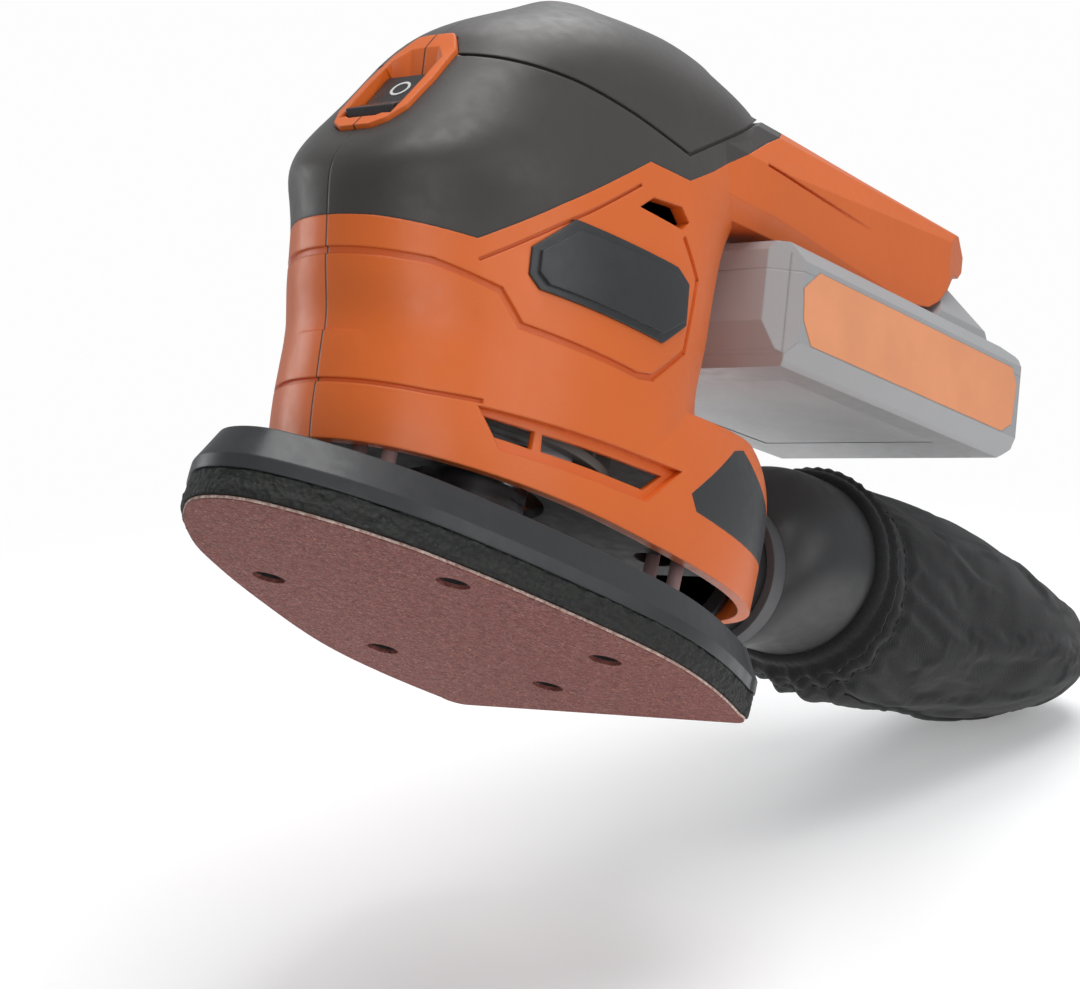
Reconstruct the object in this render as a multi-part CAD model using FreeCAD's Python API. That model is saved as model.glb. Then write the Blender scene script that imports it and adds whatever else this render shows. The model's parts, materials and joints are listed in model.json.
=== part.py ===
import FreeCAD, Part
import math
import os

V = FreeCAD.Vector
os.makedirs("parts", exist_ok=True)

# ---------------------------------------------------------------- driving dimensions (mm)
# World frame: origin on the sanding face, PAD_REAR ahead of the pad's rear edge, +Z up, nose toward -X.
# The grip, the battery arm and the dust outlet lean nose-down by LEAN about Y ("body frame").
PAD_LENGTH = 129.0
PAD_REAR = 66.5
PAD_WIDTH = 90.0
PAPER_T = 0.9
HOOK_T = 0.9
FOAM_T = 4.3
PLATE_BAND = 2.7
PLATE_BEVEL_H = 6.5
PLATE_BEVEL_IN = 3.2
DUST_HOLE_R = 3.4
LEAN = 11.0

MOTOR_X = 8.0
ECC = 0.9
CAN_R = 18.5
CAN_LEN = 53.0
SHAFT_R = 2.5
PIN_R = 4.0
BEARING_R = 11.0
BEARING_H = 7.0
FAN_R = 27.0
PIN_FIT = 0.03
HUB_GAP = 1.6

BODY_HALF_W = 34.5
WALL = 2.8

ARM_HALF_W = 27.0
ARM_BOTTOM = 95.5
ARM_END = 172.5

PACK_FRONT = 70.0
PACK_LEN = 117.0
PACK_HALF_W = 36.0
PACK_BOTTOM = 66.5
PACK_H = 27.0
RAIL_NECK = 13.5
RAIL_HEAD = 19.5
RAIL_GAP = 0.2
CELL_R = 9.1
CELL_LEN = 65.0

SPOUT_Z = 25.0
SPOUT_R = 16.0
SPOUT_FIT = 0.08
BAG_Z = 32.0
BAG_R = 24.0
BAG_START = 144.0
BAG_LEN = 134.0

PAPER_TOP = PAPER_T
HOOK_TOP = PAPER_TOP + HOOK_T
FOAM_TOP = HOOK_TOP + FOAM_T
BAND_TOP = FOAM_TOP + PLATE_BAND
PLATE_TOP = BAND_TOP + PLATE_BEVEL_H
BORE_Z = PLATE_TOP - 2.9
HUB_Z = BORE_Z + BEARING_H + HUB_GAP
FAN_Z = HUB_Z + 14.4
MOTOR_Z = FAN_Z + 14.0
CAN_TOP = MOTOR_Z + CAN_LEN
PACK_TOP = PACK_BOTTOM + PACK_H
PACK_REAR = PACK_FRONT + PACK_LEN


# ---------------------------------------------------------------- helpers
def save(shape, node):
    if shape.ShapeType == "Compound" and len(shape.Solids) == 1:
        shape = shape.Solids[0]
    shape.exportStep("parts/" + node + ".step")


def box(x0, x1, y0, y1, z0, z1):
    return Part.makeBox(x1 - x0, y1 - y0, z1 - z0, V(x0, y0, z0))


def rod(x, y, z0, z1, r):
    return Part.makeCylinder(r, z1 - z0, V(x, y, z0), V(0, 0, 1))


def bar_x(x0, x1, y, z, r):
    return Part.makeCylinder(r, x1 - x0, V(x0, y, z), V(1, 0, 0))


def bar_y(y0, y1, x, z, r):
    return Part.makeCylinder(r, y1 - y0, V(x, y0, z), V(0, 1, 0))


def tube(x, y, z0, z1, r_out, r_in):
    return rod(x, y, z0, z1, r_out).cut(rod(x, y, z0 - 1, z1 + 1, r_in))


def prism(points, direction):
    wire = Part.makePolygon(points + [points[0]])
    return Part.Face(wire).extrude(direction)


def side_prism(xz, y0, y1):
    return prism([V(x, y0, z) for x, z in xz], V(0, y1 - y0, 0))


def plan_prism(xy, z0, z1):
    return prism([V(x, y, z0) for x, y in xy], V(0, 0, z1 - z0))


def end_prism(yz, x0, x1):
    return prism([V(x0, y, z) for y, z in yz], V(x1 - x0, 0, 0))


def lean(shape):
    turned = shape.copy()
    turned.rotate(V(0, 0, 0), V(0, 1, 0), -LEAN)
    return turned


def both_sides(shape):
    return shape.fuse(shape.mirror(V(0, 0, 0), V(0, 1, 0)))


def group(shapes):
    return Part.makeCompound(shapes)


def rounded(shape, radius, chooser):
    edges = [e for e in shape.Edges if chooser(e)]
    if not edges:
        return shape
    try:
        result = shape.makeFillet(radius, edges)
        if result.isValid() and result.Volume > 0:
            return result
    except Exception:
        pass
    return shape


def along(axis):
    def test(edge):
        ends = edge.Vertexes
        if len(ends) != 2:
            return False
        d = ends[1].Point.sub(ends[0].Point)
        if d.Length < 1.0:
            return False
        d.normalize()
        return abs(d.dot(axis)) > 0.999
    return test


ALONG_X = along(V(1, 0, 0))
ALONG_Y = along(V(0, 1, 0))
ALONG_Z = along(V(0, 0, 1))


def keep_below(shape, z):
    return shape.common(box(-400, 400, -200, 200, -200, z))


# ---------------------------------------------------------------- pad
# Half width of the pad (fraction of the widest half width) along its length (fraction from tip).
PAD_SIDE = [(0.0, 0.0), (0.010, 0.14), (0.040, 0.26), (0.085, 0.385), (0.14, 0.50), (0.20, 0.605),
            (0.27, 0.69), (0.365, 0.785), (0.48, 0.878), (0.59, 0.955), (0.70, 0.998),
            (0.81, 0.980), (0.90, 0.930), (0.962, 0.880)]
PAD_REAR_HALF = 0.80


def pad_wire(z, grow):
    side = [V(PAD_REAR - PAD_LENGTH + f * PAD_LENGTH, -w * PAD_WIDTH / 2, z) for f, w in PAD_SIDE]
    count = len(side)
    moved = []
    for i in range(count):
        if i == 0:
            moved.append(V(side[0].x - grow, 0, z))
            continue
        after = side[min(i + 1, count - 1)]
        before = side[i - 1]
        d = after.sub(before)
        d.normalize()
        moved.append(V(side[i].x + d.y * grow, side[i].y - d.x * grow, z))
    other = [V(p.x, -p.y, z) for p in moved[1:]]
    other.reverse()
    curve = Part.BSplineCurve()
    curve.interpolate(other + moved)
    end = moved[-1]
    rear_x = PAD_REAR + grow
    rear_y = PAD_REAR_HALF * PAD_WIDTH / 2 + 0.5 * grow
    mid = V(end.x + 0.78 * (rear_x - end.x), end.y + 0.36 * (-rear_y - end.y), z)
    mid_far = V(mid.x, -mid.y, z)
    corner = Part.Arc(end, mid, V(rear_x, -rear_y, z)).toShape()
    back = Part.makeLine(V(rear_x, -rear_y, z), V(rear_x, rear_y, z))
    corner_far = Part.Arc(V(rear_x, rear_y, z), mid_far, V(end.x, -end.y, z)).toShape()
    return Part.Wire([curve.toShape(), corner, back, corner_far])


def pad_slab(z0, z1, grow):
    return Part.Face(pad_wire(z0, grow)).extrude(V(0, 0, z1 - z0))


def dust_holes(z0, z1, r):
    places = [(0.337, 0.26), (0.685, 0.322), (0.337, -0.26), (0.685, -0.322), (0.851, 0.0)]
    rods = []
    for f, w in places:
        rods.append(rod(PAD_REAR - PAD_LENGTH + f * PAD_LENGTH, w * PAD_WIDTH, z0, z1, r))
    return rods


LEG_PLACES = [(-33.0, -4.6), (-33.0, -12.4), (-33.0, 4.6), (-33.0, 12.4),
              (46.0, -20.5), (46.0, -27.0), (46.0, 20.5), (46.0, 27.0)]
LEG_FEET = [(-33.0, -8.5), (-33.0, 8.5), (46.0, -23.7), (46.0, 23.7)]
LEG_R = 1.5
LEG_TOP = 36.0
POCKET_FLOOR = PLATE_TOP - 4.2


def build_pad():
    paper = pad_slab(0, PAPER_TOP, 0.0)
    hook = pad_slab(PAPER_TOP, HOOK_TOP, -0.6)
    foam = pad_slab(HOOK_TOP, FOAM_TOP, 0.5)
    for hole in dust_holes(-1, FOAM_TOP + 1, DUST_HOLE_R):
        paper = paper.cut(hole)
        hook = hook.cut(hole)
        foam = foam.cut(hole)
    band = pad_slab(FOAM_TOP, BAND_TOP, 1.0)
    bevel = Part.makeLoft([pad_wire(BAND_TOP, 1.0), pad_wire(PLATE_TOP, 1.0 - PLATE_BEVEL_IN)], True, True)
    plate = band.fuse(bevel)
    pocket = pad_slab(POCKET_FLOOR, PLATE_TOP + 1, -5.2)
    plate = plate.cut(pocket)
    boss = rod(MOTOR_X + ECC, 0, FOAM_TOP, BORE_Z + BEARING_H + 0.4, BEARING_R + 4.0)
    ribs = [box(-50, 58, -1.2, 1.2, FOAM_TOP, PLATE_TOP - 1.2)]
    ribs.append(box(MOTOR_X - 1.2, MOTOR_X + 1.2, -34, 34, FOAM_TOP, PLATE_TOP - 1.2))
    plate = plate.fuse(ribs).fuse(boss)
    plate = plate.cut(rod(MOTOR_X + ECC, 0, BORE_Z, PLATE_TOP + 20, BEARING_R))
    plate = plate.cut(rod(MOTOR_X + ECC, 0, BORE_Z - 3, BORE_Z + 1, BEARING_R - 2.5))
    for hole in dust_holes(0, PLATE_TOP + 1, DUST_HOLE_R + 0.6):
        plate = plate.cut(hole)
    feet = []
    screws = []
    for x, y in LEG_FEET:
        feet.append(box(x - 5.5, x + 5.5, y - 7.4, y + 7.4, POCKET_FLOOR, POCKET_FLOOR + 2.0))
        plate = plate.cut(rod(x, y, POCKET_FLOOR - 4.0, POCKET_FLOOR + 1, 1.3))
        shank = rod(x, y, POCKET_FLOOR - 4.0, POCKET_FLOOR + 2.0, 1.3)
        head = rod(x, y, POCKET_FLOOR + 2.0, POCKET_FLOOR + 3.4, 2.3)
        slot = box(x - 2.4, x + 2.4, y - 0.4, y + 0.4, POCKET_FLOOR + 2.6, POCKET_FLOOR + 4)
        screws.append(shank.fuse(head).cut(slot))
    legs = []
    for x, y in LEG_PLACES:
        legs.append(rod(x, y, POCKET_FLOOR + 1.0, LEG_TOP, LEG_R))
    leg_set = feet[0].fuse(feet[1:] + legs)
    for x, y in LEG_FEET:
        leg_set = leg_set.cut(rod(x, y, POCKET_FLOOR - 1, POCKET_FLOOR + 8, 1.3))
        leg_set = leg_set.cut(rod(x, y, POCKET_FLOOR + 2.0, POCKET_FLOOR + 8, 2.3))
    for foot in feet:
        plate = plate.cut(foot)
    save(paper, "sanding_sheet")
    save(hook, "hook_layer")
    save(foam, "foam_pad")
    save(plate, "pad_plate")
    save(group(screws), "leg_screws")
    save(leg_set, "pad_legs")
    ring = tube(MOTOR_X + ECC, 0, BORE_Z, BORE_Z + BEARING_H, BEARING_R, PIN_R)
    groove_out = tube(MOTOR_X + ECC, 0, BORE_Z + BEARING_H - 0.6, BORE_Z + BEARING_H + 1, BEARING_R - 2.2, PIN_R + 2.0)
    save(ring.cut(groove_out), "eccentric_bearing")


# ---------------------------------------------------------------- drive
def build_drive():
    pin = rod(MOTOR_X + ECC, 0, BORE_Z - 1.0, HUB_Z + 0.5, PIN_R - PIN_FIT)
    hub = rod(MOTOR_X, 0, HUB_Z, FAN_Z, 11.0).fuse(pin)
    hub = hub.cut(rod(MOTOR_X, 0, HUB_Z + 2.0, FAN_Z + 1, SHAFT_R))
    save(hub, "eccentric_hub")
    disc = rod(MOTOR_X, 0, FAN_Z, FAN_Z + 2.0, FAN_R)
    core = rod(MOTOR_X, 0, FAN_Z, FAN_Z + 9.0, 7.0)
    blades = []
    for k in range(11):
        blade = box(8.0, FAN_R - 0.5, -0.8, 0.8, FAN_Z + 1.0, FAN_Z + 9.0)
        blade.rotate(V(9.0, 0, 0), V(0, 0, 1), 24)
        blade.rotate(V(0, 0, 0), V(0, 0, 1), k * 360.0 / 11)
        blade.translate(V(MOTOR_X, 0, 0))
        blades.append(blade)
    fan = disc.fuse([core] + blades)
    fan = fan.common(rod(MOTOR_X, 0, FAN_Z, FAN_Z + 9, FAN_R))
    fan = fan.cut(rod(MOTOR_X, 0, FAN_Z - 1, FAN_Z + 20, SHAFT_R))
    save(fan, "fan")
    weight = rod(MOTOR_X, 0, FAN_Z - 3.5, FAN_Z, FAN_R - 2).cut(rod(MOTOR_X, 0, FAN_Z - 5, FAN_Z + 1, 11.0))
    weight = weight.common(box(MOTOR_X - 60, MOTOR_X - 2, -60, 60, 0, 200))
    save(weight, "counterweight")
    shaft = rod(MOTOR_X, 0, HUB_Z + 2.0, CAN_TOP + 5.0, SHAFT_R)
    save(shaft, "motor_shaft")
    core = tube(MOTOR_X, 0, MOTOR_Z + 10, MOTOR_Z + 38, 11.6, SHAFT_R)
    for k in range(5):
        slot = box(7.5, 13, -1.0, 1.0, MOTOR_Z + 9, MOTOR_Z + 39)
        slot.rotate(V(0, 0, 0), V(0, 0, 1), 72 * k)
        slot.translate(V(MOTOR_X, 0, 0))
        core = core.cut(slot)
    save(core, "armature")
    save(tube(MOTOR_X, 0, MOTOR_Z + 42, MOTOR_Z + 51, 5.5, SHAFT_R), "commutator")
    can = tube(MOTOR_X, 0, MOTOR_Z, CAN_TOP, CAN_R, CAN_R - 1.6)
    floor = tube(MOTOR_X, 0, MOTOR_Z, MOTOR_Z + 1.6, CAN_R - 1.0, 6.5)
    can = can.fuse(floor)
    for side in (-1, 1):
        can = can.cut(rod(MOTOR_X, side * 12.5, MOTOR_Z - 6, MOTOR_Z + 2, 1.5))
    for k in range(2):
        window = bar_y(-40, 40, MOTOR_X, MOTOR_Z + 6, 3.0)
        window.rotate(V(MOTOR_X, 0, 0), V(0, 0, 1), 90 * k)
        can = can.cut(window)
    save(can, "motor_can")
    magnet = tube(MOTOR_X, 0, MOTOR_Z + 11, MOTOR_Z + 40, CAN_R - 1.6, 12.4)
    gap = box(MOTOR_X - 6, MOTOR_X + 6, -40, 40, 0, 300)
    save(magnet.cut(gap), "motor_magnets")
    lower = tube(MOTOR_X, 0, MOTOR_Z, MOTOR_Z + 5, 6.5, SHAFT_R + 0.04)
    upper = tube(MOTOR_X, 0, CAN_TOP - 1.0, CAN_TOP + 3.0, 6.5, SHAFT_R + 0.04)
    save(group([lower, upper]), "motor_bushes")
    cap = rod(MOTOR_X, 0, CAN_TOP, CAN_TOP + 3.0, CAN_R)
    cap = cap.fuse(rod(MOTOR_X, 0, CAN_TOP - 1.0, CAN_TOP, CAN_R - 1.6))
    cap = cap.cut(rod(MOTOR_X, 0, CAN_TOP - 2, CAN_TOP + 9, 6.5))
    save(cap, "motor_end_cap")
    tabs = []
    brushes = []
    for side in (-1, 1):
        tabs.append(box(MOTOR_X - 2.4, MOTOR_X + 2.4, side * 13.5 - 0.4, side * 13.5 + 0.4, CAN_TOP + 3, CAN_TOP + 10))
        y0, y1 = sorted((side * 5.8, side * 12.0))
        brushes.append(box(MOTOR_X - 2.0, MOTOR_X + 2.0, y0, y1, MOTOR_Z + 44, MOTOR_Z + 49))
    save(group(tabs), "motor_tabs")
    save(group(brushes), "motor_brushes")


# ---------------------------------------------------------------- grip shell (body frame)
# height, nose x, rear x, half width, x of the widest place, fullness at nose, fullness at rear
COLUMN = [(-8, -33, 64, 34, 24, 2.1, 2.6), (20, -36.5, 65, 34.5, 23, 2.1, 2.6),
          (35, -38.0, 65, 34.0, 22, 2.1, 2.6), (48, -37.2, 63, 33.5, 22, 2.1, 2.6),
          (58, -38.5, 63, 33, 22, 2.1, 2.6), (68, -40.2, 65.5, 32.8, 22, 2.05, 2.6),
          (76, -41.2, 67, 32.4, 22, 2.15, 2.6), (81.5, -40.9, 68.5, 31.8, 23, 2.4, 2.6),
          (86, -38.3, 70, 31.2, 24, 2.65, 2.6), (95, -30.7, 75, 30, 27, 2.75, 2.6),
          (105, -22.3, 83, 28.5, 31, 2.7, 2.5), (114.6, -14.2, 88, 27.5, 36, 2.5, 2.6),
          (124, -0.5, 88.5, 22.5, 40, 2.3, 2.4), (131, 13.2, 85.5, 14.5, 45, 2.1, 1.85),
          (136.0, 35, 78, 5.0, 54, 2.0, 1.8)]
SKIRT = [(-12, -33, 86, 34, 30, 2.1, 2.8), (8, -35, 93.5, 34.5, 30, 2.1, 2.8),
         (30, -37.5, 98, 34.5, 30, 2.1, 2.8), (41.5, -37.8, 97.5, 33.5, 30, 2.1, 2.8),
         (49, -37.6, 92, 31.5, 30, 2.1, 2.8)]
EDGE_FRONT_Z = 20.3
EDGE_SLOPE = 0.065


def ring_section(z, nose, rear, half, widest, full_nose, full_rear, shrink):
    half_w = half * BODY_HALF_W / 34.5 - shrink
    points = []
    for i in range(24):
        a = 2 * math.pi * i / 24
        c = math.cos(a)
        s = math.sin(a)
        full = full_rear if c >= 0 else full_nose
        reach = rear - shrink - widest if c >= 0 else widest - nose - shrink
        x = widest + math.copysign(abs(c) ** (2.0 / full), c) * reach
        y = math.copysign(abs(s) ** (2.0 / full), s) * half_w
        points.append(V(x, y, z))
    curve = Part.BSplineCurve()
    curve.interpolate(points, PeriodicFlag=True)
    return Part.Wire([curve.toShape()])


def skin_loft(table, shrink, drop):
    wires = []
    for z, nose, rear, half, widest, fn, fr in table:
        wires.append(ring_section(z - drop, nose, rear, half, widest, fn, fr, shrink))
    return Part.makeLoft(wires, True, False)


def master(shrink):
    column = skin_loft(COLUMN, shrink, 0.0 if shrink < 0.01 else shrink * 0.9)
    skirt = skin_loft(SKIRT, shrink, 0.0 if shrink < 0.01 else shrink)
    return column.fuse(skirt)


ARM_SIDE = [(52, ARM_BOTTOM), (140, ARM_BOTTOM + 0.8), (ARM_END - 21, ARM_BOTTOM + 2.8),
            (ARM_END - 16, ARM_BOTTOM + 5.5), (ARM_END - 7, ARM_BOTTOM + 14.3),
            (ARM_END - 2.5, ARM_BOTTOM + 14.7), (ARM_END + 1, ARM_BOTTOM + 17.1),
            (ARM_END + 1, ARM_BOTTOM + 21), (ARM_END - 6, ARM_BOTTOM + 25),
            (120, ARM_BOTTOM + 26), (86, ARM_BOTTOM + 27.5), (52, ARM_BOTTOM + 27.5)]


def arm_outer():
    w = ARM_HALF_W
    z = ARM_BOTTOM
    profile = side_prism(ARM_SIDE, -60, 60)
    cross = [(-w + 3, z - 1), (-w, z + 4.5), (-w, z + 15), (-w + 3.5, z + 24), (-w + 12, z + 31),
             (w - 12, z + 31), (w - 3.5, z + 24), (w, z + 15), (w, z + 4.5), (w - 3, z - 1)]
    section = end_prism(cross, 40, 200)
    plan = plan_prism([(40, -w - 1), (75, -w), (ARM_END - 12, -w + 2.5), (ARM_END + 4, -w + 7),
                       (ARM_END + 4, w - 7), (ARM_END - 12, w - 2.5), (75, w), (40, w + 1)], 60, 160)
    arm = profile.common(section).common(plan)
    arm = rounded(arm, 1.6, lambda e: e.Length > 4)
    return arm


def arm_inner():
    w = ARM_HALF_W - WALL
    z = ARM_BOTTOM
    cavity = box(55, ARM_END - 12, -w + 2.0, w - 2.0, z + 12.5, z + 18.5)
    hollow_top = side_prism([(55, z + 18), (ARM_END - 14, z + 18), (120, z + 22), (55, z + 23)], -w + 6, w - 6)
    return cavity.fuse(hollow_top)


# Line where the dark grip cover meets the coloured shell, front to back.
COVER_LINE = [(-60, 70.8), (-38, 70.8), (-23, 69.5), (-6, 80.6), (21.5, 97.0), (36.5, 97.2),
              (47, 102.4), (72, 116.3), (94, 127.0)]


def cover_region():
    return side_prism(COVER_LINE + [(110, 135), (110, 180), (-60, 180)], -80, 80)


def below_edge():
    points = [V(-200, -80, -80), V(260, -80, -80)]
    points.append(V(260, -80, EDGE_FRONT_Z + EDGE_SLOPE * 303))
    points.append(V(-200, -80, EDGE_FRONT_Z - EDGE_SLOPE * 157))
    cutter = prism(points, V(0, 160, 0))
    cutter.rotate(V(0, 0, 0), V(0, 1, 0), LEAN)
    return cutter


VENT_ONE = [(-18, 36.2), (-5.8, 35.3), (-6.2, 31.7), (-15.6, 32.6)]
VENT_TWO = [(-4.0, 35.1), (33.0, 33.9), (26.8, 29.9), (-4.0, 31.7)]
VENT_RECESS = [(-19.6, 37.6), (38.0, 35.8), (26.0, 27.4), (-14.6, 30.0)]
VENT_TOP = [(17.5, 86.3), (22.5, 89.6), (33.2, 90.6), (36.2, 88.0), (33.7, 85.7)]
PANEL_LINE = [(-45, 64.4), (-30, 63.6), (-17.5, 60.6), (-12.4, 54.7), (20, 52.0), (25.2, 52.7), (37.2, 60.8),
              (40.6, 76.9), (34.5, 84.0)]
COLLAR_LINE = [(-45, 39.8), (-28, 38.6), (-19, 38.6)]
UNDER_COVER_LINE = [(-22, 65.6), (-6.5, 76.0), (18, 91.0)]
HUMP_LINE = [(-17.8, 108.9), (0, 107.6), (17, 105.6), (36.5, 102.9), (66, 118.6), (92, 130)]
PLATE_SHAPE = [(-12.1, 65.0), (-12.1, 70.4), (-2.6, 78.2), (31.3, 77.2), (36.3, 74.8), (36.3, 66.0),
               (27.6, 60.4), (-9.4, 62.6)]
BADGE_SHAPE = [(42.0, 32.0), (44.4, 28.6), (87, 22.6), (87, 33.6), (66.5, 45.8), (61.0, 44.6)]


def line_band(points, width, y0, y1):
    pieces = []
    for i in range(len(points) - 1):
        a = V(points[i][0], 0, points[i][1])
        b = V(points[i + 1][0], 0, points[i + 1][1])
        d = b.sub(a)
        d.normalize()
        n = V(-d.z, 0, d.x).multiply(width / 2)
        e = V(d.x, 0, d.z).multiply(width / 3)
        quad = [a.sub(e).add(n), b.add(e).add(n), b.add(e).sub(n), a.sub(e).sub(n)]
        pieces.append(side_prism([(q.x, q.z) for q in quad], y0, y1))
    return pieces[0].fuse(pieces[1:]) if len(pieces) > 1 else pieces[0]


ARM_LINE = [(70, 110.5), (126, 108.4), (137, 115.5)]
SCREW_PLACES = [(-24.0, 53.0), (52.0, 58.0), (-30.0, 77.0), (56.0, 108.0), (124.0, 110.0), (84.0, 40.0)]


def switch_place(shape):
    placed = shape.copy()
    placed.rotate(V(0, 0, 0), V(0, 1, 0), -49.8)
    placed.translate(V(-27.3, 0, 99.1))
    return placed


BEZEL = [(-13.3, -3.8), (-11.2, -6.6), (-6.5, -8.7), (4.0, -9.0), (14.5, -8.2), (20.3, -4.6),
         (20.3, 4.6), (14.5, 8.2), (4.0, 9.0), (-6.5, 8.7), (-11.2, 6.6), (-13.3, 3.8)]
ROCKER_R = 8.8
ROCKER_N = -4.5
ROCKER_HALF = 6.0


def bezel_prism(z0, z1, scale):
    shape = plan_prism([(3.5 + (x - 3.5) * scale, y * scale) for x, y in BEZEL], z0, z1)
    shape = rounded(shape, 1.5, ALONG_Z)
    return switch_place(shape)


def bezel_dish():
    rim = [V(3.5 + (x - 3.5) * 0.83, y * 0.80, 2.6) for x, y in BEZEL]
    foot_xy = [(-8.8, -4.2), (-8.8, -5.4), (-8.1, -6.2), (1.0, -6.2), (8.1, -6.2), (8.8, -3.0),
               (8.8, 3.0), (8.1, 6.2), (1.0, 6.2), (-8.1, 6.2), (-8.8, 5.4), (-8.8, 4.2)]
    foot = [V(x, y, -4.6) for x, y in foot_xy]
    top_wire = Part.makePolygon(rim + [rim[0]])
    foot_wire = Part.makePolygon(foot + [foot[0]])
    return switch_place(Part.makeLoft([foot_wire, top_wire], True, True))


def build_housing():
    outer = master(0.0)
    arm = arm_outer()
    outer_all = outer.fuse(arm)
    trim = below_edge()
    outer_all = outer_all.cut(trim)
    inner = master(WALL).fuse(arm_inner())
    shell = outer_all.cut(inner)

    # screw bosses run across the inside from wall to wall
    bosses = []
    for x, z in SCREW_PLACES:
        bosses.append(bar_y(-40, 40, x, z, 4.2).common(outer_all))
    shell = shell.fuse(bosses)

    # battery rail cavity under the arm
    z = ARM_BOTTOM
    neck = box(PACK_FRONT - 3, ARM_END + 10, -RAIL_NECK - RAIL_GAP, RAIL_NECK + RAIL_GAP, z - 3, z + 4)
    head = box(PACK_FRONT - 3, ARM_END + 10, -RAIL_HEAD - RAIL_GAP, RAIL_HEAD + RAIL_GAP, z + 3, z + 10.8)
    shell = shell.cut(neck.fuse(head))
    clear_pack = box(PACK_FRONT - 0.6, 260, -60, 60, PACK_BOTTOM - 8, PACK_TOP + 0.8)
    shell = shell.cut(clear_pack.common(box(60, 260, -60, 60, 53, PACK_TOP + 0.8)))

    # vents, spout hole, switch window
    for y0, y1 in ((-60, -15), (15, 60)):
        shell = shell.cut(side_prism(VENT_ONE, y0, y1))
        shell = shell.cut(side_prism(VENT_TWO, y0, y1))
        shell = shell.cut(side_prism(VENT_TOP, y0, y1))
    shell = shell.cut(bar_x(80, 130, 0, SPOUT_Z, SPOUT_R))
    window = switch_place(box(-9.2, 9.2, -6.6, 6.6, -30, 20))
    frame_hole = switch_place(box(-12.4, 11.4, -8.4, 8.4, -30, -5.6))
    bezel_hole = bezel_prism(-6, 14, 1.0)
    shell = shell.cut(bezel_hole).cut(frame_hole)

    # shallow engraved seams and recesses follow the skin
    shallow_column = skin_loft(COLUMN, 0.7, 0.6)
    shallow_skirt = skin_loft(SKIRT, 0.7, 0.7)
    deep_column = skin_loft(COLUMN, 1.7, 1.5)
    deep_skirt = skin_loft(SKIRT, 1.7, 1.7)
    bands = [line_band(PANEL_LINE, 1.4, -80, 80), line_band(UNDER_COVER_LINE, 0.6, -80, 80),
             line_band(HUMP_LINE, 0.8, -80, 80)]
    for band in bands:
        shell = shell.cut(band.cut(shallow_column))
    collar_band = line_band(COLLAR_LINE, 0.9, -80, 80).cut(shallow_skirt).cut(shallow_column)
    shell = shell.cut(collar_band)
    shell = shell.cut(side_prism(VENT_RECESS, -80, 80).cut(deep_skirt).cut(deep_column))
    arm_line = line_band(ARM_LINE, 0.7, -80, 80)
    shell = shell.cut(arm_line.cut(box(0, 400, -ARM_HALF_W + 1.3, ARM_HALF_W - 1.3, 0, 400)))

    # name plates and corner badges sit in pockets of the skin
    plate_pocket = side_prism(PLATE_SHAPE, -80, 80).cut(deep_column)
    badge_pocket = side_prism(BADGE_SHAPE, -80, 80).cut(deep_skirt).common(box(20, 90, -80, 80, 0, 80))
    plates = plate_pocket.common(outer)
    badges = badge_pocket.common(outer)
    shell = shell.cut(plate_pocket).cut(badge_pocket)
    plate_face = side_prism([(12 + (x - 12) * 0.93, 69 + (z - 69) * 0.80) for x, z in PLATE_SHAPE], -80, 80)
    proud = []
    for side in (-1, 1):
        half = box(-300, 300, -100 if side < 0 else 2, -2 if side < 0 else 100, -200, 300)
        piece = biggest(plates.common(half))
        rim = piece.copy()
        rim.translate(V(0, side * 0.4, 0))
        face = piece.common(plate_face)
        face.translate(V(0, side * 1.1, 0))
        proud.append(biggest(piece.fuse([rim, face])))
    save(lean(group(proud)), "name_plates")
    badge_set = []
    for side in (-1, 1):
        half = box(-300, 300, -100 if side < 0 else 2, -2 if side < 0 else 100, -200, 300)
        badge_set.append(biggest(badges.common(half)))
    save(lean(group(badge_set)), "corner_badges")

    # pilot holes and countersinks for the housing screws, entered from the far side
    screws = []
    for x, z in SCREW_PLACES:
        shell = shell.cut(bar_y(-12, 60, x, z, 1.6))
        shell = shell.cut(bar_y(14, 60, x, z, 3.4))
        screw = bar_y(-10, 14, x, z, 1.6).fuse(bar_y(14, 16.6, x, z, 3.2))
        screw = screw.cut(box(x - 0.5, x + 0.5, 15.4, 20, z - 2, z + 2))
        screw = screw.cut(box(x - 2, x + 2, 15.4, 20, z - 0.5, z + 0.5))
        screws.append(screw)
    save(lean(group(screws)), "housing_screws")

    cover = shell.common(cover_region())
    lower = shell.cut(cover_region())
    left = box(-300, 300, -120, 0, -200, 300)
    right = box(-300, 300, 0, 120, -200, 300)
    save(lean(biggest(lower.common(left))), "housing_left")
    save(lean(biggest(lower.common(right))), "housing_right")
    save(lean(biggest(cover.common(left))), "grip_cover_left")
    save(lean(biggest(cover.common(right))), "grip_cover_right")

    proud_skin = skin_loft(COLUMN, -0.7, -0.6)
    bezel = proud_skin.common(bezel_prism(-5.6, 14, 0.985))
    bezel = bezel.cut(window.fuse(bezel_dish()))
    save(lean(biggest(bezel)), "switch_bezel")
    return inner


def biggest(shape):
    solids = sorted(shape.Solids, key=lambda s: -s.Volume)
    return solids[0]


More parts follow.
